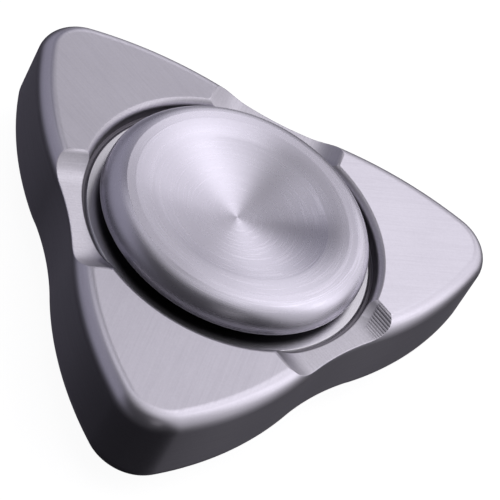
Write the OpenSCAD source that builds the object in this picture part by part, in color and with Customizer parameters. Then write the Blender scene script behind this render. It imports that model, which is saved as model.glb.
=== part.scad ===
// Three-lobed metal fidget spinner with a press-in bearing and two dished finger buttons.
// +Z is the spin axis, the origin is the centre of the bearing, and one lobe points along +X.
// Everything is mirrored about the plane z = 0, except the bearing's one-sided ball cage
// and the socket in the end of the stud.

/* [Body] */
// Thickness of the body between its flat faces
body_h = 6.9; // [6.7:0.1:7.3]
// Distance from the spin axis to the end of a lobe
tip_reach = 20.7; // [20:0.1:23]
// Radius of the round end of a lobe
tip_r = 3.7; // [3.3:0.1:4.2]
// Radius of the long convex flank between a lobe's end and the waist
flank_r = 28; // [27:0.5:32]
// Distance from the spin axis to the middle of the waist
waist_reach = 12.55; // [12.4:0.05:12.8]
// Radius of the hollow curve across the waist
waist_r = 21.5; // [18:0.5:26]
// Radius of the rounded edge round both faces
edge_r = 1.3; // [1:0.05:1.5]

/* [Counterbore and finger scoops] */
// Radius of the counterbore that the button stands in
counterbore_r = 11.25; // [11.15:0.05:11.4]
// Radius of the rounded mouth of the counterbore
counterbore_round = 0.65; // [0.5:0.05:0.7]
// Height of the counterbore's floor above the middle plane
counterbore_floor = 2.3; // [2.2:0.05:2.35]
// Height of a scoop's floor above the middle plane
scoop_floor = 2.55; // [2.45:0.05:2.7]
// Half the width of a scoop's flat floor
scoop_flat = 2.7; // [2.5:0.1:3]
// Radius of the curve at each end of a scoop
scoop_end_r = 4.2; // [3.8:0.1:4.4]
// Radius of the rounded edge where a scoop's end meets the flat face
scoop_round = 0.9; // [0.6:0.05:1]
// Radius of the ball cutter that leaves the steps in a scoop's ends
cutter_r = 0.8; // [0.7:0.05:1]

/* [Bearing carrier] */
// Radius of the carrier ring, and of its seat in the body
carrier_r = 11; // [10.8:0.05:11]
// Chamfer round the carrier ring's outer edges
carrier_chamfer = 0.15; // [0.1:0.05:0.2]

/* [Bearing] */
// Radius of the bearing's outside, and of its seat in the carrier
bearing_r = 6.35; // [6.35]
// Radius of the bearing's bore
bearing_bore_r = 3.175; // [3.175]
// Width of the bearing and of the carrier
bearing_w = 4.7625; // [4.7625]
// Diameter of a ball
ball_d = 1.984; // [1.984]
// Radius of the circle of ball centres
pitch_r = 4.7625; // [4.7625]
// Radial play between a ball and each race
race_play = 0.006; // [0.005:0.001:0.01]
// Play between a ball and its pocket in the cage
cage_play = 0.05; // [0.04:0.01:0.06]

/* [Finger buttons] */
// Largest radius of a button
button_r = 10.25; // [10:0.05:10.4]
// Height of a button's rim above the middle plane
button_top = 5.25; // [5.1:0.05:5.5]
// Height of a button's underside above the middle plane
button_under = 3.2; // [3.1:0.05:3.3]
// Radius of the finger dish, out to the top of its lip
dish_r = 8.55; // [8.4:0.05:8.6]
// Radius of the lip that rolls over from the dish to the rim
lip_r = 7; // [5:0.5:8]
// Depth of the finger dish
dish_depth = 1.4; // [1.2:0.05:1.45]
// Radius of the rounded outer side of a button
rim_r = 1.72; // [1.65:0.01:1.75]
// Bevel round a button's lower edge
button_bevel = 0.25; // [0.15:0.05:0.3]
// Radius of the boss that stands on the inner race
boss_r = 4; // [3.9:0.05:4]
// Play between a button's journal and the bearing's bore
journal_play = 0.01; // [0.005:0.005:0.015]
// Radius of the stud that joins the buttons
stud_r = 2; // [2]
// Length of the stud
stud_len = 5.2; // [4.8:0.1:5.4]

/* [Hidden] */
$fn = 128;
LOBES = 3;
BALLS = 10;
STEEL = [0.74, 0.72, 0.77];
DARK_STEEL = [0.55, 0.54, 0.58];
BRIGHT_STEEL = [0.85, 0.84, 0.87];

lobe_step = 360 / LOBES;
waist_angle = lobe_step / 2;
half_w = bearing_w / 2;
eps = 0.01;
// How far a cut runs out past the face that it opens
cut_extra = 1;

// Outline of the body: a tip arc, a convex flank arc and a hollow waist arc, each tangent
// to the next. The flank's centre is found from its distances to the other two centres.
tip_c = [tip_reach - tip_r, 0];
waist_c = (waist_reach + waist_r) * [cos(waist_angle), sin(waist_angle)];
tip_to_flank = flank_r - tip_r;
waist_to_flank = flank_r + waist_r;
tip_to_waist = norm(waist_c - tip_c);
along = (tip_to_flank ^ 2 - waist_to_flank ^ 2 + tip_to_waist ^ 2) / (2 * tip_to_waist);
across = sqrt(tip_to_flank ^ 2 - along ^ 2);
way = (waist_c - tip_c) / tip_to_waist;
flank_c = tip_c + along * way + across * [-way[1], way[0]];
tip_turn = atan2(tip_c[1] - flank_c[1], tip_c[0] - flank_c[0]);
waist_turn = atan2(waist_c[1] - flank_c[1], waist_c[0] - flank_c[0]);
waist_half_turn = waist_turn - waist_angle;

// The blank is built from rounded bands along the outline round a flat core. Each band laps
// under the next one and stands 0.02 mm below it, so that their surfaces never coincide.
band_w = 2.8;
band_step = 0.02;
flank_lap = 3;
// The flat faces are cut this far below the top of the rounded edge.
face_cut = 0.01;

// Ball cutter passes in a scoop's ends
scoop_depth = body_h / 2 - scoop_floor;
scoop_end_c = [scoop_flat, scoop_floor + scoop_end_r];
scoop_reach = scoop_end_r + scoop_round - eps;
scoop_turn = acos((scoop_end_c[1] - body_h / 2 - face_cut + scoop_round) / scoop_reach);
scoop_end_way = [sin(scoop_turn), -cos(scoop_turn)];
cutter_passes = 6;
cutter_turn = scoop_turn / cutter_passes;
scoop_start = counterbore_r / 2;
scoop_length = waist_reach;

// Bearing details
ball_r = ball_d / 2;
groove_r = ball_r * 1.04;
race_chamfer = 0.12;
inner_shoulder_r = 4.05;
outer_shoulder_r = 5.45;
shield_t = 0.18;
shield_inner_r = 4.2;
shield_outer_r = 5.85;
shield_under = 1.95;
clip_wire_r = 0.1;
clip_z = shield_under + shield_t + clip_wire_r;
clip_gap = 28;
cage_inner_r = 4.45;
cage_outer_r = 5.08;
cage_base = -1.3;
cage_top = 0.35;

// Button details
journal_end = 0.12;
journal_chamfer = 0.15;
stud_hole_top = 2.95;
rim_land_r = 8.85;
rim_c_r = button_r - rim_r;
rim_c_z = button_top - sqrt(rim_r ^ 2 - (rim_land_r - rim_c_r) ^ 2);
dish_slope = 2 * atan(dish_depth / dish_r);
dish_sphere_r = dish_r / sin(dish_slope) - lip_r;
dish_sphere_c = [0, button_top - dish_depth + dish_sphere_r];
lip_c = [dish_r, button_top - lip_r + face_cut];
socket_r = 1.15;
socket_depth = 1.8;
stud_chamfer = 0.3;

module at_lobes() {
    for (i = [0 : LOBES - 1]) rotate([0, 0, i * lobe_step]) children();
}

module both_faces() {
    children();
    mirror([0, 0, 1]) children();
}

// Cross-section of a band of the blank: x runs outwards and its outer corners are rounded
module band_section(outer, width) {
    corner_z = body_h / 2 - edge_r + face_cut;
    intersection() {
        union() {
            translate([outer - width, -body_h]) square([width - edge_r, 2 * body_h]);
            translate([outer - width, -corner_z]) square([width, 2 * corner_z]);
            for (side = [-1, 1]) translate([outer - edge_r, side * corner_z]) circle(edge_r);
        }
        translate([outer - width, -body_h / 2]) square([width, body_h]);
    }
}

module tip() {
    translate(tip_c) rotate_extrude() band_section(tip_r, tip_r);
}

// A flank ends at the tip's tangent point, and runs on a little way under the waist.
module flank() {
    translate(flank_c) rotate([0, 0, tip_turn])
        rotate_extrude(angle = waist_turn + flank_lap - tip_turn)
            band_section(flank_r + band_step, band_w);
}

// The waist's band curves the other way, so its section is turned inside out.
module waist() {
    translate(waist_c) rotate([0, 0, 180 + waist_angle - waist_half_turn])
        rotate_extrude(angle = 2 * waist_half_turn)
            translate([2 * waist_r, 0]) mirror([1, 0]) band_section(waist_r + 2 * band_step, band_w);
}

// The flat middle of the blank ends inside the bands.
module core() {
    inset = (band_w + edge_r) / 2;
    function flank_p(turn) = flank_c + (flank_r - inset) * [cos(turn), sin(turn)];
    end_p = tip_c + [(tip_r - edge_r) / 2, 0];
    shoulder_p = flank_p(tip_turn);
    side_p = flank_p((tip_turn + waist_turn) / 2);
    waist_p = (waist_reach - inset) * [cos(waist_angle), sin(waist_angle)];
    lobe = [[side_p[0], -side_p[1]], [shoulder_p[0], -shoulder_p[1]], end_p, shoulder_p, side_p, waist_p];
    points = [for (i = [0 : LOBES - 1]) for (p = lobe)
        [p[0] * cos(i * lobe_step) - p[1] * sin(i * lobe_step),
         p[0] * sin(i * lobe_step) + p[1] * cos(i * lobe_step)]];
    translate([0, 0, -body_h / 2]) linear_extrude(body_h) polygon(points);
}

module blank() {
    core();
    at_lobes() {
        tip();
        flank();
        mirror([0, 1, 0]) flank();
        waist();
    }
}

// Half of a scoop's section: a flat floor, ball cutter passes up the curved end, and a
// rounded edge that is tangent to the curved end and runs out on the flat face
module scoop_half() {
    mouth = 2 * scoop_depth;
    meet_p = scoop_end_c + scoop_end_r * scoop_end_way;
    round_c = scoop_end_c + scoop_reach * scoop_end_way;
    difference() {
        polygon([
            meet_p - [cutter_r / 2, 0], meet_p, round_c, [round_c[0], scoop_end_c[1]],
            [meet_p[0] - cutter_r / 2, scoop_end_c[1]]]);
        translate(round_c) circle(scoop_round);
    }
    translate([-eps, scoop_floor]) square([scoop_flat + eps, mouth]);
    for (i = [0 : cutter_passes]) {
        turn = i * cutter_turn;
        centre = [scoop_flat + (scoop_end_r - cutter_r) * sin(turn),
                  scoop_floor + scoop_end_r - (scoop_end_r - cutter_r) * cos(turn)];
        translate(centre) circle(cutter_r);
        translate([scoop_flat - eps, centre[1]]) square([centre[0] - scoop_flat + eps, mouth]);
    }
}

module scoop() {
    rotate([0, 0, waist_angle])
        translate([scoop_start, 0, 0])
            rotate([90, 0, 90])
                linear_extrude(scoop_length) {
                    scoop_half();
                    mirror([1, 0]) scoop_half();
                }
}

// The counterbore's mouth is rounded, and runs out on the flat face.
module counterbore() {
    round_r = counterbore_r + counterbore_round;
    round_z = body_h / 2 + face_cut - counterbore_round;
    rotate_extrude() difference() {
        polygon([
            [0, counterbore_floor], [counterbore_r, counterbore_floor],
            [counterbore_r, round_z], [round_r, round_z],
            [round_r, body_h / 2 + cut_extra], [0, body_h / 2 + cut_extra]]);
        translate([round_r, round_z]) circle(counterbore_round);
    }
}

module body() {
    color(STEEL) difference() {
        blank();
        cylinder(h = body_h, r = carrier_r, center = true);
        both_faces() {
            counterbore();
            at_lobes() scoop();
        }
    }
}

// Plain ring with chamfered edges, centred on the middle plane
module ring_section(inner, outer, inner_cut, outer_cut) {
    polygon([
        [inner, inner_cut - half_w], [inner + inner_cut, -half_w],
        [outer - outer_cut, -half_w], [outer, outer_cut - half_w],
        [outer, half_w - outer_cut], [outer - outer_cut, half_w],
        [inner + inner_cut, half_w], [inner, half_w - inner_cut]]);
}

module bearing_carrier() {
    color(BRIGHT_STEEL) rotate_extrude()
        ring_section(bearing_r, carrier_r, race_chamfer, carrier_chamfer);
}

module outer_race() {
    groove_c = pitch_r + ball_r + race_play - groove_r;
    color(STEEL) rotate_extrude() difference() {
        ring_section(outer_shoulder_r, bearing_r, eps, race_chamfer);
        translate([groove_c, 0]) circle(groove_r);
        for (side = [-1, 1]) mirror([0, side < 0 ? 1 : 0]) {
            translate([0, shield_under]) square([shield_outer_r, half_w]);
            translate([shield_outer_r, clip_z]) circle(clip_wire_r);
        }
    }
}

module inner_race() {
    groove_c = pitch_r - ball_r - race_play + groove_r;
    color(STEEL) rotate_extrude() difference() {
        ring_section(bearing_bore_r, inner_shoulder_r, race_chamfer, race_chamfer);
        translate([groove_c, 0]) circle(groove_r);
    }
}

module at_ball(i) {
    rotate([0, 0, i * 360 / BALLS]) translate([pitch_r, 0, 0]) children();
}

// Crown cage: a ring whose ball pockets are open on the upper side
module ball_cage() {
    color(DARK_STEEL) difference() {
        translate([0, 0, cage_base]) difference() {
            cylinder(h = cage_top - cage_base, r = cage_outer_r);
            translate([0, 0, -cut_extra])
                cylinder(h = cage_top - cage_base + 2 * cut_extra, r = cage_inner_r);
        }
        for (i = [0 : BALLS - 1]) at_ball(i) sphere(ball_r + cage_play);
    }
}

module ball(i) {
    color(BRIGHT_STEEL) at_ball(i) sphere(ball_r);
}

module upper_shield() {
    color(DARK_STEEL) rotate_extrude()
        translate([shield_inner_r, shield_under]) square([shield_outer_r - shield_inner_r, shield_t]);
}

// Split wire ring that holds the shield down in the outer race
module upper_shield_clip() {
    color(BRIGHT_STEEL) rotate([0, 0, clip_gap / 2])
        rotate_extrude(angle = 360 - clip_gap)
            translate([shield_outer_r, clip_z]) circle(clip_wire_r);
}

// Half section of the upper button: dished disc, boss, and journal tapped for the stud
module button_section() {
    meet_p = dish_sphere_c + dish_sphere_r * (lip_c - dish_sphere_c) / norm(lip_c - dish_sphere_c);
    difference() {
        union() {
            polygon([
                [0, button_under], [button_r - button_bevel, button_under],
                [button_r, button_under + button_bevel], [button_r, rim_c_z],
                [rim_c_r, rim_c_z], [rim_c_r, rim_c_z + rim_r], [0, rim_c_z + rim_r]]);
            intersection() {
                translate([rim_c_r, rim_c_z]) circle(rim_r);
                translate([0, rim_c_z]) square(2 * rim_r + rim_c_r);
            }
            translate([0, half_w]) square([boss_r, button_under - half_w + eps]);
            journal_r = bearing_bore_r - journal_play;
            polygon([
                [0, journal_end], [journal_r - journal_chamfer, journal_end],
                [journal_r, journal_end + journal_chamfer], [journal_r, half_w + eps],
                [0, half_w + eps]]);
        }
        translate([0, button_top]) square([button_r, rim_r]);
        translate(dish_sphere_c) circle(dish_sphere_r);
        difference() {
            polygon([dish_sphere_c, meet_p, lip_c, [lip_c[0], dish_sphere_c[1]]]);
            translate(lip_c) circle(lip_r);
        }
        translate([0, -eps]) square([stud_r, stud_hole_top + eps]);
    }
}

module upper_button() {
    color(STEEL) rotate_extrude() button_section();
}

module button_stud() {
    color(DARK_STEEL) difference() {
        rotate_extrude() polygon([
            [0, -stud_len / 2], [stud_r - stud_chamfer, -stud_len / 2],
            [stud_r, stud_chamfer - stud_len / 2], [stud_r, stud_len / 2 - stud_chamfer],
            [stud_r - stud_chamfer, stud_len / 2], [0, stud_len / 2]]);
        translate([0, 0, stud_len / 2 - socket_depth])
            cylinder(h = socket_depth + cut_extra, r = socket_r, $fn = 6);
    }
}

body();
bearing_carrier();
outer_race();
inner_race();
ball_cage();
ball(0);  // ball_01
ball(1);  // ball_02
ball(2);  // ball_03
ball(3);  // ball_04
ball(4);  // ball_05
ball(5);  // ball_06
ball(6);  // ball_07
ball(7);  // ball_08
ball(8);  // ball_09
ball(9);  // ball_10
upper_shield();
mirror([0, 0, 1]) upper_shield();  // lower_shield
upper_shield_clip();
mirror([0, 0, 1]) upper_shield_clip();  // lower_shield_clip
upper_button();
mirror([0, 0, 1]) upper_button();  // lower_button
button_stud();
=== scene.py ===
"""Looks for the three-lobed metal fidget spinner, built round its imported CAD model."""

import math

import bpy
from mathutils import Matrix, Vector


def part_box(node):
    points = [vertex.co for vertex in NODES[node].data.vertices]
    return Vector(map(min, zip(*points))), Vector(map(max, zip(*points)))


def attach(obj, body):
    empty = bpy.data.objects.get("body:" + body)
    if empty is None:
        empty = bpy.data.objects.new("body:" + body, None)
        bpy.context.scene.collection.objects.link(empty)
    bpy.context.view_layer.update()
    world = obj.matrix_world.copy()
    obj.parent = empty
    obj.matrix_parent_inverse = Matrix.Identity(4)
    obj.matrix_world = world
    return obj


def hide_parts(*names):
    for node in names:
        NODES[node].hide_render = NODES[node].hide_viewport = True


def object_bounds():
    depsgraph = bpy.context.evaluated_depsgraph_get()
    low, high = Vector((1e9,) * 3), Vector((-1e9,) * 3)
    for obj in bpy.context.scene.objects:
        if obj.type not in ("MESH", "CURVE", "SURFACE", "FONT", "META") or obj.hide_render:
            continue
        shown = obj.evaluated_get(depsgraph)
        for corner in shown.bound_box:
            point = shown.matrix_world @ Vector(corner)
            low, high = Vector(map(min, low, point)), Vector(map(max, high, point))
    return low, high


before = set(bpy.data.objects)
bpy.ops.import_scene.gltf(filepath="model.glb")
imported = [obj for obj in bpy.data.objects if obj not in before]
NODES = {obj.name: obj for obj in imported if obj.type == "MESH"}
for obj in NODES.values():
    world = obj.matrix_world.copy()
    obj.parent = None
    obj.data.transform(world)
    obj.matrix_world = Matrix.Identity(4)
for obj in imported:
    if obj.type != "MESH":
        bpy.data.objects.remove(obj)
cad_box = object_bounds()
MM = 0.001

# Camera: where it stands as seen from the spinner's centre, and how it is turned
CAM_AZIMUTH = math.radians(-33.99)
CAM_ELEVATION = math.radians(44.41)
CAM_ROLL = math.radians(29.96)
CAM_DISTANCE = 200.5 * MM
CAM_LENS = 198.7
AIM_RIGHT = 2.335 * MM
AIM_UP = 0.02 * MM
SENSOR_WIDTH = 36
CLIP_NEAR, CLIP_FAR = 0.01, 20

FLOOR_HALF_WIDTH = 3.0
FLOOR_GREY = 0.22
FLOOR_GLOW = 0.94

LOBES = 3
LOBE_STEP = 2 * math.pi / LOBES


# ---------- camera, floor and light ----------

def camera_axes():
    """Unit vectors from the spinner towards the camera, to the camera's right and up"""
    ca, sa = math.cos(CAM_AZIMUTH), math.sin(CAM_AZIMUTH)
    ce, se = math.cos(CAM_ELEVATION), math.sin(CAM_ELEVATION)
    back = Vector((sa * ce, -ca * ce, se))
    flat_right = Vector((ca, sa, 0))
    flat_up = back.cross(flat_right)
    right = math.cos(CAM_ROLL) * flat_right + math.sin(CAM_ROLL) * flat_up
    up = math.cos(CAM_ROLL) * flat_up - math.sin(CAM_ROLL) * flat_right
    return back, right, up


def add_camera():
    """A camera that looks at a point a little beside the spinner's centre"""
    back, right, up = camera_axes()
    place = back * CAM_DISTANCE
    target = right * AIM_RIGHT + up * AIM_UP
    look_back = (place - target).normalized()
    side = up.cross(look_back).normalized()
    top = look_back.cross(side)
    camera = bpy.data.objects.new("camera", bpy.data.cameras.new("camera"))
    camera.data.lens = CAM_LENS
    camera.data.sensor_width = SENSOR_WIDTH
    camera.data.clip_start = CLIP_NEAR
    camera.data.clip_end = CLIP_FAR
    turn = Matrix((side, top, look_back)).transposed().to_4x4()
    camera.matrix_world = Matrix.Translation(place) @ turn
    bpy.context.scene.collection.objects.link(camera)
    bpy.context.scene.camera = camera


def add_floor(height):
    """A sheet of pale paper that glows softly, so that almost no shadow shows on it"""
    mesh = bpy.data.meshes.new("floor")
    s = FLOOR_HALF_WIDTH
    corners = [(-s, -s, height), (s, -s, height), (s, s, height), (-s, s, height)]
    mesh.from_pydata(corners, [], [(0, 1, 2, 3)])
    floor = bpy.data.objects.new("floor", mesh)
    bpy.context.scene.collection.objects.link(floor)
    paper = bpy.data.materials.new("floor_paper")
    paper.use_nodes = True
    bsdf = paper.node_tree.nodes["Principled BSDF"]
    bsdf.inputs["Base Color"].default_value = (FLOOR_GREY, FLOOR_GREY, FLOOR_GREY, 1)
    bsdf.inputs["Roughness"].default_value = 0.9
    bsdf.inputs["Specular IOR Level"].default_value = 0.0
    bsdf.inputs["Emission Color"].default_value = (1, 1, 1, 1)
    bsdf.inputs["Emission Strength"].default_value = FLOOR_GLOW
    mesh.materials.append(paper)
    floor.visible_glossy = False


# Each lamp of the studio dome: azimuth and elevation of its middle, the turn of its long
# side from the horizontal, half length and half width, softness of its edge (all in
# degrees), then its brightness and colour.
DOME = [
    (22, 32, 0, 37, 34, 15, 0.97, (1.0, 0.975, 1.03)),
    (39, 59, 0, 9, 14, 10, 0.6, (1.0, 0.98, 1.02)),
    (67, 20, 80, 21, 8, 12, 0.75, (1.0, 0.98, 1.02)),
    (95, 61, 0, 12, 12, 10, 0.7, (1.0, 0.98, 1.05)),
    (40, 87, 0, 26, 24, 28, 0.5, (1.0, 0.98, 1.03)),
    (130, 25, 0, 56, 28, 18, 0.32, (0.96, 0.94, 1.13)),
    (330, 38, 96, 47, 26, 26, 0.6, (1.0, 0.98, 1.03)),
    (268, 28, 0, 11, 7, 9, 0.35, (1.0, 0.97, 1.0)),
    (100, -44, 0, 28, 22, 20, 0.042, (0.96, 0.92, 1.12)),
    (355, -44, 0, 27, 22, 20, 0.032, (1.0, 0.97, 1.08)),
    (228, 14, 0, 55, 34, 22, 0.035, (1.0, 0.97, 1.06)),
]
DOME_FILL = (0.011, 0.0105, 0.0125)
# Each black flag hung before the lamps: its place and size as above, and the share it takes away
FLAGS = [
    (69, 57, 90, 17, 8, 3.5, 0.57),
    (49, 25, 0, 9, 8, 7, 0.5),
]


def lamp_axes(azimuth, elevation, turn):
    """Unit vectors to a lamp's middle, along its long side and along its short side"""
    a, e, t = (math.radians(v) for v in (azimuth, elevation, turn))
    middle = Vector((math.cos(a) * math.cos(e), math.sin(a) * math.cos(e), math.sin(e)))
    level = Vector((-math.sin(a), math.cos(a), 0))
    upward = middle.cross(level)
    long_way = math.cos(t) * level + math.sin(t) * upward
    short_way = math.cos(t) * upward - math.sin(t) * level
    return middle, long_way, short_way


def add_dome():
    """A dark studio with large soft lamps and a few black flags, all ovals with a soft edge"""
    world = bpy.data.worlds.new("studio")
    bpy.context.scene.world = world
    world.use_nodes = True
    tree = world.node_tree
    tree.nodes.clear()

    def node(kind, operation, *values):
        n = tree.nodes.new(kind)
        n.operation = operation
        for value, socket in zip(values, n.inputs):
            if isinstance(value, bpy.types.NodeSocket):
                tree.links.new(value, socket)
            else:
                socket.default_value = value
        return n

    def dot(axis, size):
        return node("ShaderNodeVectorMath", "DOT_PRODUCT", where, axis / size).outputs["Value"]

    def patch(azimuth, elevation, turn, half_length, half_width, soft):
        """1 inside an oval patch of the dome, 0 outside it"""
        middle, long_way, short_way = lamp_axes(azimuth, elevation, turn)
        u = dot(long_way, math.sin(math.radians(half_length)))
        v = dot(short_way, math.sin(math.radians(half_width)))
        squared = node("ShaderNodeMath", "MULTIPLY", v, v)
        squared = node("ShaderNodeMath", "MULTIPLY_ADD", u, u, squared.outputs[0])
        far = node("ShaderNodeMath", "SQRT", squared.outputs[0])
        edge = tree.nodes.new("ShaderNodeMapRange")
        edge.interpolation_type = "SMOOTHSTEP"
        share = soft / (2 * half_width)
        edge.inputs["From Min"].default_value = 1 + share
        edge.inputs["From Max"].default_value = max(1 - share, 0)
        tree.links.new(far.outputs[0], edge.inputs["Value"])
        front = node("ShaderNodeMath", "GREATER_THAN", dot(middle, 1.0), 0.0)
        return node("ShaderNodeMath", "MULTIPLY", edge.outputs["Result"], front.outputs[0]).outputs[0]

    where = tree.nodes.new("ShaderNodeTexCoord").outputs["Generated"]
    total = Vector(DOME_FILL)
    for *oval, strength, colour in DOME:
        lamp = node("ShaderNodeVectorMath", "SCALE", [c * strength for c in colour])
        tree.links.new(patch(*oval), lamp.inputs["Scale"])
        total = node("ShaderNodeVectorMath", "ADD", total, lamp.outputs[0]).outputs[0]
    for *oval, share in FLAGS:
        left = node("ShaderNodeMath", "MULTIPLY_ADD", patch(*oval), -share, 1.0)
        shaded = node("ShaderNodeVectorMath", "SCALE", total)
        tree.links.new(left.outputs[0], shaded.inputs["Scale"])
        total = shaded.outputs[0]
    background = tree.nodes.new("ShaderNodeBackground")
    tree.links.new(total, background.inputs["Color"])
    output = tree.nodes.new("ShaderNodeOutputWorld")
    tree.links.new(background.outputs[0], output.inputs[0])


# ---------- body ----------

# The body's outline and cuts, in millimetres, as in its CAD solid. Each cut starts a little
# above the flat face, by RUN_OUT, so that its rounding crosses the face at a small angle.
TIP_R = 3.7
FLANK_R = 28
WAIST_REACH = 12.55
WAIST_R = 21.5
EDGE_R = 1.3
SEAT_R = 11
BORE_FLOOR, BORE_R, BORE_ROUND = 2.3, 11.25, 0.65
SCOOP_FLOOR, SCOOP_FLAT, SCOOP_END_R, SCOOP_ROUND = 2.55, 2.7, 4.2, 0.9
SCOOP_START, SCOOP_LENGTH = 5.6, 12.5
RUN_OUT = 0.01
CUT_EXTRA = 1
OUTLINE_STEP = 0.16
ROUND_STEPS = 12
LATHE_STEPS = 360
SHARP_ANGLE = math.radians(22)


def arc(centre, radius, start, end):
    """Points on an arc from the angle start to the angle end, without the last, each with its angle"""
    count = max(2, round(abs(end - start) * radius / OUTLINE_STEP))
    turns = [start + (end - start) * i / count for i in range(count)]
    return [(centre[0] + radius * math.cos(a), centre[1] + radius * math.sin(a), a) for a in turns]


def body_outline(tip_reach):
    """Points round the outline with the direction of its outward normal at each"""
    half = LOBE_STEP / 2
    tip = Vector((tip_reach - TIP_R, 0))
    waist = (WAIST_REACH + WAIST_R) * Vector((math.cos(half), math.sin(half)))
    to_tip, to_waist, apart = FLANK_R - TIP_R, FLANK_R + WAIST_R, (waist - tip).length
    along = (to_tip ** 2 - to_waist ** 2 + apart ** 2) / (2 * apart)
    across = math.sqrt(to_tip ** 2 - along ** 2)
    way = (waist - tip) / apart
    flank = tip + along * way + across * Vector((-way.y, way.x))
    tip_turn = math.atan2(tip.y - flank.y, tip.x - flank.x)
    waist_turn = math.atan2(waist.y - flank.y, waist.x - flank.x)
    lobe = arc(tip, TIP_R, 0, tip_turn) + arc(flank, FLANK_R, tip_turn, waist_turn)
    hollow = arc(waist, WAIST_R, waist_turn + math.pi, half + math.pi)
    lobe += [(x, y, turn - math.pi) for x, y, turn in hollow]
    lobe.append((WAIST_REACH * math.cos(half), WAIST_REACH * math.sin(half), half))
    mirrored = [(x, -y, -turn) for x, y, turn in reversed(lobe[1:-1])]
    points = []
    for i in range(LOBES):
        c, sn = math.cos(i * LOBE_STEP), math.sin(i * LOBE_STEP)
        for x, y, turn in mirrored + lobe:
            points.append((x * c - y * sn, x * sn + y * c, turn + i * LOBE_STEP))
    return points


def stack(name, rings):
    """A closed mesh through a stack of rings that have equal numbers of points, in millimetres"""
    n = len(rings[0])
    verts = [(x * MM, y * MM, z * MM) for ring in rings for x, y, z in ring]
    faces = [(a * n + i, a * n + (i + 1) % n, (a + 1) * n + (i + 1) % n, (a + 1) * n + i)
             for a in range(len(rings) - 1) for i in range(n)]
    faces += [tuple(reversed(range(n))), tuple(range((len(rings) - 1) * n, len(rings) * n))]
    mesh = bpy.data.meshes.new(name)
    mesh.from_pydata(verts, [], faces)
    obj = bpy.data.objects.new(name, mesh)
    bpy.context.scene.collection.objects.link(obj)
    return obj


def lathe(name, section):
    """A closed mesh turned about z from points of radius and height, lowest first"""
    turns = [2 * math.pi * i / LATHE_STEPS for i in range(LATHE_STEPS)]
    return stack(name, [[(r * math.cos(a), r * math.sin(a), z) for a in turns] for r, z in section])


def prism(name, section, turn, side):
    """A scoop's cutter: its section across the waist, carried outwards at the angle turn"""
    c, sn = math.cos(turn), math.sin(turn)
    rings = [[(s * c - t * sn, s * sn + t * c, side * z) for t, z in section]
             for s in (SCOOP_START, SCOOP_START + SCOOP_LENGTH)]
    return stack(name, rings if side > 0 else rings[::-1])


def scoop_section(half_h):
    """Flat floor, hollow end and rounded edge on each side, closed above the flat face"""
    end_z = SCOOP_FLOOR + SCOOP_END_R
    reach = SCOOP_END_R + SCOOP_ROUND
    turn = math.acos((end_z - half_h - RUN_OUT + SCOOP_ROUND) / reach)
    edge = Vector((SCOOP_FLAT + reach * math.sin(turn), end_z - reach * math.cos(turn)))
    turns = [turn * i / ROUND_STEPS for i in range(ROUND_STEPS + 1)]
    half = [(SCOOP_FLAT + SCOOP_END_R * math.sin(a), end_z - SCOOP_END_R * math.cos(a)) for a in turns]
    half += [(edge.x - SCOOP_ROUND * math.sin(a), edge.y + SCOOP_ROUND * math.cos(a))
             for a in reversed(turns[:-1])]
    half.append((edge.x, half_h + CUT_EXTRA))
    return half + [(-t, z) for t, z in reversed(half)]


def applied_mesh(obj):
    """The object's mesh with its modifiers carried out"""
    bpy.context.view_layer.update()
    return bpy.data.meshes.new_from_object(obj.evaluated_get(bpy.context.evaluated_depsgraph_get()))


def build_body():
    """The body in one smooth piece: a rounded blank less its seat, counterbores and scoops"""
    low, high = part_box("body")
    half_h = high[2] / MM
    outline = body_outline(high[0] / MM)
    turns = [math.pi / 2 * i / ROUND_STEPS for i in range(ROUND_STEPS + 1)]
    rings = []
    for side in (-1, 1):
        for turn in turns[::side]:
            inset, z = EDGE_R * (1 - math.cos(turn)), side * (half_h - EDGE_R + EDGE_R * math.sin(turn))
            rings.append([(x - inset * math.cos(a), y - inset * math.sin(a), z) for x, y, a in outline])
    blank = stack("body_blank", rings)
    cut_top = half_h + CUT_EXTRA
    cutters = [lathe("seat_cutter", [(SEAT_R, -cut_top), (SEAT_R, cut_top)])]
    round_z = half_h + RUN_OUT - BORE_ROUND
    mouth = [(BORE_R + BORE_ROUND * (1 - math.cos(a)), round_z + BORE_ROUND * math.sin(a)) for a in turns]
    section = [(BORE_R, BORE_FLOOR)] + mouth + [(BORE_R + BORE_ROUND, cut_top)]
    cutters.append(lathe("upper_bore_cutter", section))
    cutters.append(lathe("lower_bore_cutter", [(r, -z) for r, z in reversed(section)]))
    for i in range(LOBES):
        for side in (-1, 1):
            cutters.append(prism("scoop_cutter", scoop_section(half_h), (i + 0.5) * LOBE_STEP, side))
    for cutter in cutters:
        cut = blank.modifiers.new("cut", "BOOLEAN")
        cut.operation = "DIFFERENCE"
        cut.solver = "EXACT"
        cut.object = cutter
    solid = applied_mesh(blank)
    for obj in [blank] + cutters:
        bpy.data.objects.remove(obj)
    body = bpy.data.objects.new("spinner_body", solid)
    bpy.context.scene.collection.objects.link(body)
    solid.shade_smooth()
    solid.set_sharp_from_angle(angle=SHARP_ANGLE)
    weigh = body.modifiers.new("weigh", "WEIGHTED_NORMAL")
    weigh.keep_sharp = True
    weigh.weight = 100
    body.data = applied_mesh(body)
    body.modifiers.clear()
    return body


# A scoop's faces: how far they lie from its middle line, how high, and how they may face
SCOOP_REACH = 5.9
SCOOP_LOW, SCOOP_HIGH = SCOOP_FLOOR - 0.01, 3.448
MOST_OUTWARD, LEAST_UPWARD = 0.02, 0.1
MOUTH_MARGIN = 0.02


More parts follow.
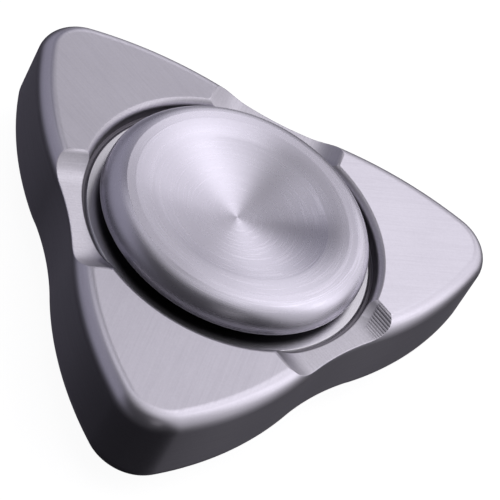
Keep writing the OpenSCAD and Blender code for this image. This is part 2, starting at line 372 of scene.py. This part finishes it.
def is_milled(polygon):
    """Whether a face of the body belongs to a counterbore or a scoop"""
    x, y, z = polygon.center / MM
    if math.hypot(x, y) < BORE_R + BORE_ROUND - MOUTH_MARGIN:
        return True
    turn = (math.floor(math.atan2(y, x) / LOBE_STEP) + 0.5) * LOBE_STEP
    outward = Vector((math.cos(turn), math.sin(turn), 0))
    off = abs(-x * math.sin(turn) + y * math.cos(turn))
    level = abs(polygon.normal.dot(outward)) < MOST_OUTWARD and abs(polygon.normal.z) > LEAST_UPWARD
    return level and off < SCOOP_REACH and SCOOP_LOW < abs(z) < SCOOP_HIGH


# ---------- materials ----------

NOISE_ROUGHNESS = 0.6
BEVEL_SAMPLES = 6


class Shader:
    """A metal material and short ways to add nodes to it"""

    def __init__(self, name, colour, roughness, anisotropy=0.0):
        self.material = bpy.data.materials.new(name)
        self.material.use_nodes = True
        self.tree = self.material.node_tree
        self.bsdf = self.tree.nodes["Principled BSDF"]
        self.bsdf.inputs["Metallic"].default_value = 1.0
        self.bsdf.inputs["Base Color"].default_value = (*colour, 1)
        self.bsdf.inputs["Roughness"].default_value = roughness
        self.bsdf.inputs["Anisotropic"].default_value = anisotropy
        self.place = self.node("ShaderNodeTexCoord").outputs["Object"]
        self.x, self.y, self.z = self.split(self.place)

    def node(self, kind):
        return self.tree.nodes.new(kind)

    def put(self, value, socket):
        if isinstance(value, bpy.types.NodeSocket):
            self.tree.links.new(value, socket)
        else:
            socket.default_value = value

    def math(self, operation, a, b=0.0):
        n = self.node("ShaderNodeMath")
        n.operation = operation
        self.put(a, n.inputs[0])
        self.put(b, n.inputs[1])
        return n.outputs[0]

    def vector(self, operation, a, b=(0, 0, 0)):
        n = self.node("ShaderNodeVectorMath")
        n.operation = operation
        self.put(a, n.inputs[0])
        self.put(b, n.inputs[1])
        return n.outputs[0]

    def split(self, vector):
        n = self.node("ShaderNodeSeparateXYZ")
        self.put(vector, n.inputs[0])
        return n.outputs

    def join(self, x=0.0, y=0.0, z=0.0):
        n = self.node("ShaderNodeCombineXYZ")
        for value, socket in zip((x, y, z), n.inputs):
            self.put(value, socket)
        return n.outputs[0]

    def angle(self):
        """The angle about the spin axis"""
        return self.math("ARCTAN2", self.y, self.x)

    def radius(self):
        """The distance from the spin axis"""
        x_squared = self.math("MULTIPLY", self.x, self.x)
        y_squared = self.math("MULTIPLY", self.y, self.y)
        return self.math("SQRT", self.math("ADD", x_squared, y_squared))

    def levelness(self):
        """1 on a face that looks straight up or down, 0 on an upright wall"""
        normal = self.node("ShaderNodeNewGeometry").outputs["True Normal"]
        return self.math("ABSOLUTE", self.split(normal)[2])

    def noise(self, vector, detail=3.0):
        n = self.node("ShaderNodeTexNoise")
        self.put(vector, n.inputs["Vector"])
        n.inputs["Scale"].default_value = 1.0
        n.inputs["Detail"].default_value = detail
        n.inputs["Roughness"].default_value = NOISE_ROUGHNESS
        return n.outputs["Fac"]

    def grain(self, sizes, detail, place=None):
        """Noise with the given sizes along x, y and z, in metres"""
        scale = tuple(1 / size for size in sizes)
        return self.noise(self.vector("MULTIPLY", self.place if place is None else place, scale), detail)

    def remap(self, value, low, high, to_low, to_high, smooth=False):
        n = self.node("ShaderNodeMapRange")
        n.interpolation_type = "SMOOTHSTEP" if smooth else "LINEAR"
        self.put(value, n.inputs["Value"])
        for name, number in (("From Min", low), ("From Max", high), ("To Min", to_low), ("To Max", to_high)):
            n.inputs[name].default_value = number
        return n.outputs["Result"]

    def vary(self, lines, low, high, input_name, at_low, at_high):
        """Let a Principled input follow the lines between two values"""
        self.put(self.remap(lines, low, high, at_low, at_high), self.bsdf.inputs[input_name])

    def mix(self, share, a, b):
        n = self.node("ShaderNodeMix")
        n.data_type = "VECTOR"
        self.put(share, n.inputs["Factor"])
        self.put(a, n.inputs[4])
        self.put(b, n.inputs[5])
        return n.outputs[1]

    def mix_value(self, share, a, b):
        n = self.node("ShaderNodeMix")
        self.put(share, n.inputs["Factor"])
        self.put(a, n.inputs[2])
        self.put(b, n.inputs[3])
        return n.outputs[0]

    def mix_colour(self, share, a, b):
        """Colour that goes from a to b, each a triple or a socket, as share goes from 0 to 1"""
        n = self.node("ShaderNodeMix")
        n.data_type = "RGBA"
        self.put(share, n.inputs["Factor"])
        for colour, socket in ((a, n.inputs[6]), (b, n.inputs[7])):
            self.put((*colour, 1) if isinstance(colour, tuple) else colour, socket)
        return n.outputs[2]

    def tint(self, share, dark, light):
        """Base colour that goes from dark to light as share goes from 0 to 1"""
        self.put(self.mix_colour(share, dark, light), self.bsdf.inputs["Base Color"])

    def bump(self, height, depth, edge=0.0):
        """Raise the surface by height, and soften its edges to the radius edge"""
        n = self.node("ShaderNodeBump")
        n.inputs["Strength"].default_value = 1.0
        n.inputs["Distance"].default_value = depth
        self.put(height, n.inputs["Height"])
        if edge:
            soft = self.node("ShaderNodeBevel")
            soft.samples = BEVEL_SAMPLES
            soft.inputs["Radius"].default_value = edge
            self.put(soft.outputs[0], n.inputs["Normal"])
        self.put(n.outputs[0], self.bsdf.inputs["Normal"])

    def across_brush(self, way):
        """Spread the highlight along way, a direction in the object's own space"""
        n = self.node("ShaderNodeVectorTransform")
        n.vector_type = "VECTOR"
        n.convert_from = "OBJECT"
        n.convert_to = "WORLD"
        self.put(way, n.inputs[0])
        self.put(n.outputs[0], self.bsdf.inputs["Tangent"])


def brushed_body():
    """Outer faces of the body: brushed along each lobe on the flats and round it on the sides"""
    s = Shader("body_steel_brushed", (0.62, 0.6, 0.66), 0.3, anisotropy=0.72)
    lobe = s.math("ROUND", s.math("DIVIDE", s.angle(), LOBE_STEP))
    spin = s.node("ShaderNodeVectorRotate")
    spin.rotation_type = "Z_AXIS"
    s.put(s.place, spin.inputs["Vector"])
    s.put(s.math("MULTIPLY", lobe, -LOBE_STEP), spin.inputs["Angle"])
    top_lines = s.grain((3.5 * MM, 0.12 * MM, MM), 4, place=spin.outputs[0])
    side_lines = s.grain((5 * MM, 5 * MM, 0.14 * MM), 4)
    speckle = s.grain((0.16 * MM,) * 3, 2)
    cloud = s.grain((4 * MM,) * 3, 2)
    flat = s.remap(s.levelness(), 0.9, 0.995, 0, 1, smooth=True)
    lines = s.mix_value(0.4, s.mix_value(flat, side_lines, top_lines), speckle)
    # Light spreads across the brush lines: across the lobe on the flats, up and down on the sides
    turn = s.math("MULTIPLY", lobe, LOBE_STEP)
    across_lobe = s.join(s.math("MULTIPLY", s.math("SINE", turn), -1.0), s.math("COSINE", turn))
    s.across_brush(s.mix(flat, (0, 0, 1), across_lobe))
    shade = s.mix_value(0.35, s.remap(lines, 0.3, 0.7, 0, 1), cloud)
    s.tint(shade, (0.60, 0.58, 0.64), (0.72, 0.70, 0.765))
    s.vary(lines, 0.25, 0.75, "Roughness", 0.34, 0.27)
    s.bump(lines, 0.0018 * MM, edge=0.09 * MM)
    return s.material


# Milled faces: sizes of the cutter's marks, the scoop's end where they deepen and its painted shade
MILL_PITCH = 0.066 * MM
MILL_DEPTH = 0.02 * MM
MILL_START, MILL_FULL = 3.2 * MM, 3.7 * MM
END_START, END_FULL, END_SHADE = 3.2 * MM, 4.4 * MM, 0.68
MOUTH_R = (BORE_R + BORE_ROUND) * MM


def milled_body():
    """Satin scoops with faint cutter lines that run outwards, and the counterbores' turned walls"""
    s = Shader("body_steel_milled", (0.62, 0.6, 0.66), 0.3, anisotropy=0.72)
    angle, radius = s.angle(), s.radius()
    sector = s.math("ADD", s.math("FLOOR", s.math("DIVIDE", angle, LOBE_STEP)), 0.5)
    middle = s.math("MULTIPLY", sector, LOBE_STEP)
    off = s.math("MULTIPLY", radius, s.math("SINE", s.math("SUBTRACT", angle, middle)))
    cutter_lines = s.noise(s.join(s.math("DIVIDE", off, 0.12 * MM), s.math("DIVIDE", radius, 3 * MM)))
    lines = s.mix_value(0.5, cutter_lines, s.grain((0.12 * MM,) * 3, 2))
    # Deep marks at the end of the scoop that was cut last
    steps = s.math("ABSOLUTE", s.math("SINE", s.math("DIVIDE", off, MILL_PITCH)))
    at_end = s.math("MULTIPLY", s.remap(off, MILL_START, MILL_FULL, 0, 1, smooth=True),
                    s.remap(radius, MOUTH_R, MOUTH_R + 0.2 * MM, 0, 1))
    last_cut = s.math("ABSOLUTE", s.math("ADD", angle, LOBE_STEP / 2))
    at_end = s.math("MULTIPLY", at_end, s.math("LESS_THAN", last_cut, LOBE_STEP / 2))
    # Light spreads across the lines: across each scoop, and along the radius in the counterbore
    across = s.join(s.math("MULTIPLY", s.math("SINE", middle), -1.0), s.math("COSINE", middle))
    level = s.remap(s.levelness(), 0.1, 0.5, 0, 1)
    bore_edge = s.remap(s.math("ABSOLUTE", s.z), 2.7 * MM, 2.8 * MM, (BORE_R + 0.03) * MM, MOUTH_R)
    in_bore = s.math("LESS_THAN", radius, bore_edge)
    outward = s.join(s.math("DIVIDE", s.x, radius), s.math("DIVIDE", s.y, radius))
    s.across_brush(s.mix(in_bore, across, s.mix(level, (0, 0, 1), outward)))
    # Painted shade: dark in the counterbore under the button, in the deep marks and towards both ends of a
    # scoop
    lit_share = s.remap(radius, BORE_R * MM, (BORE_R + 0.12) * MM, 0.1, 1, smooth=True)
    groove = s.math("MULTIPLY", at_end, s.remap(steps, 0.5, 0, 0, 0.75, smooth=True))
    lit_share = s.math("MULTIPLY", lit_share, s.math("SUBTRACT", 1.0, groove))
    from_middle = s.math("ABSOLUTE", off)
    ends = s.remap(from_middle, END_START, END_FULL, 1, END_SHADE, smooth=True)
    shade = s.math("MULTIPLY", s.math("MULTIPLY", lit_share, ends), s.remap(lines, 0.3, 0.7, 0.75, 1))
    s.tint(shade, (0.14, 0.13, 0.15), (0.77, 0.75, 0.81))
    s.vary(lines, 0.25, 0.75, "Roughness", 0.38, 0.3)
    height = s.math("ADD", s.math("MULTIPLY", lines, 0.0012 * MM),
                    s.math("MULTIPLY", s.math("MULTIPLY", steps, at_end), MILL_DEPTH))
    s.bump(height, 1.0, edge=0.12 * MM)
    return s.material


# The side of the buttons where the last polishing strokes show most, the strokes' width and the
# soft edge and colour of the painted shade that the buttons cast on the carrier
STROKES_TURN = math.radians(-55)
STROKE_SPREAD = 1.6
UNDER_BUTTON_SHADE_FADE = 0.5 * MM
UNDER_BUTTON_SHADE_COLOUR = (0.16, 0.155, 0.17)
# Turns the highlight by 90 degrees, so that it spreads along the radius
QUARTER_TURN = 0.25


def turned(name, dark, light, rough, anisotropy, ring_width, depth, strokes_share=0.15, under_button_shade_r=0.0):
    """Metal finished on a lathe: fine rings about the spin axis, and inside the given radius a painted shadow
    of the button above
    """
    s = Shader(name, light, rough, anisotropy)
    angle, radius = s.angle(), s.radius()
    wall = s.remap(s.levelness(), 0.6, 0.8, 1, 0)
    travel = s.mix_value(wall, radius, s.z)
    fine = s.noise(s.join(s.math("DIVIDE", travel, ring_width)), detail=4)
    wide = s.noise(s.join(s.math("DIVIDE", travel, ring_width * 7)), detail=2)
    speckle = s.grain((0.14 * MM,) * 3, 2)
    lines = s.mix_value(0.3, s.mix_value(0.35, fine, wide), speckle)
    # Broken strokes of the last polishing pass, along the rings
    around = s.join(s.math("DIVIDE", travel, ring_width * STROKE_SPREAD),
                    s.math("MULTIPLY", s.math("COSINE", angle), STROKE_SPREAD),
                    s.math("MULTIPLY", s.math("SINE", angle), STROKE_SPREAD))
    side = s.math("COSINE", s.math("SUBTRACT", angle, STROKES_TURN))
    strokes = s.math("MULTIPLY", s.remap(s.noise(around, detail=2), 0.54, 0.72, 0, strokes_share),
                     s.remap(side, 0.1, 0.9, 0.12, 1, smooth=True))
    lines = s.math("ADD", lines, strokes)
    tangent = s.node("ShaderNodeTangent")
    tangent.direction_type = "RADIAL"
    tangent.axis = "Z"
    s.put(tangent.outputs[0], s.bsdf.inputs["Tangent"])
    s.bsdf.inputs["Anisotropic Rotation"].default_value = QUARTER_TURN
    shade = s.remap(lines, 0.2, 0.8, 0, 1)
    # Painted shade: the carrier is darkened inside this radius, where the button above shades it
    if under_button_shade_r:
        lit_share = s.remap(radius, under_button_shade_r - UNDER_BUTTON_SHADE_FADE, under_button_shade_r, 0, 1, smooth=True)
        s.tint(lit_share, UNDER_BUTTON_SHADE_COLOUR, s.mix_colour(shade, dark, light))
    else:
        s.tint(shade, dark, light)
    s.vary(lines, 0.25, 0.75, "Roughness", rough * 1.08, rough * 0.92)
    s.bump(lines, depth, edge=0.05 * MM)
    return s.material


def plain_metal(name, colour, rough, size):
    """Bare metal with a faint mottle of the given size"""
    s = Shader(name, colour, rough)
    lines = s.grain((size,) * 3, 3)
    s.tint(lines, tuple(c * 0.85 for c in colour), colour)
    s.vary(lines, 0.3, 0.7, "Roughness", rough * 0.8, rough * 1.2)
    s.bump(lines, 0.002 * MM)
    return s.material


def paint(node, material):
    slots = NODES[node].data.materials
    slots.clear()
    slots.append(material)


PRESSED_METAL = {
    "ball_cage": (0.6, 0.58, 0.55),
    "upper_shield": (0.6, 0.6, 0.62),
    "lower_shield": (0.6, 0.6, 0.62),
    "upper_shield_clip": (0.7, 0.7, 0.72),
    "lower_shield_clip": (0.7, 0.7, 0.72),
    "button_stud": (0.45, 0.45, 0.47),
}


def paint_all():
    """Give every CAD node that stays visible its material"""
    button = turned("button_steel_turned", (0.62, 0.60, 0.67), (0.735, 0.715, 0.795), 0.28, 0.87,
                    0.09 * MM, 0.0009 * MM, strokes_share=1.1)
    carrier = turned("carrier_steel_turned", (0.62, 0.61, 0.65), (0.80, 0.79, 0.82), 0.26, 0.7,
                     0.06 * MM, 0.001 * MM, under_button_shade_r=10.45 * MM)
    race = turned("race_steel_ground", (0.55, 0.55, 0.57), (0.7, 0.7, 0.72), 0.22, 0.6, 0.05 * MM, 0.001 * MM)
    for name, material in (("upper_button", button), ("lower_button", button), ("bearing_carrier", carrier),
                           ("outer_race", race), ("inner_race", race)):
        paint(name, material)
    for name in NODES:
        if name.startswith("ball_") and name != "ball_cage":
            paint(name, plain_metal(name + "_steel", (0.85, 0.85, 0.87), 0.06, 0.5 * MM))
    for name, colour in PRESSED_METAL.items():
        paint(name, plain_metal(name + "_steel", colour, 0.3, 0.3 * MM))


add_camera()
add_floor(cad_box[0][2])
add_dome()

body = build_body()
body.data.materials.append(brushed_body())
body.data.materials.append(milled_body())
for polygon in body.data.polygons:
    polygon.material_index = int(is_milled(polygon))
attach(body, "rotor")
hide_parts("body")
paint_all()

bpy.context.scene.view_settings.view_transform = "Standard"
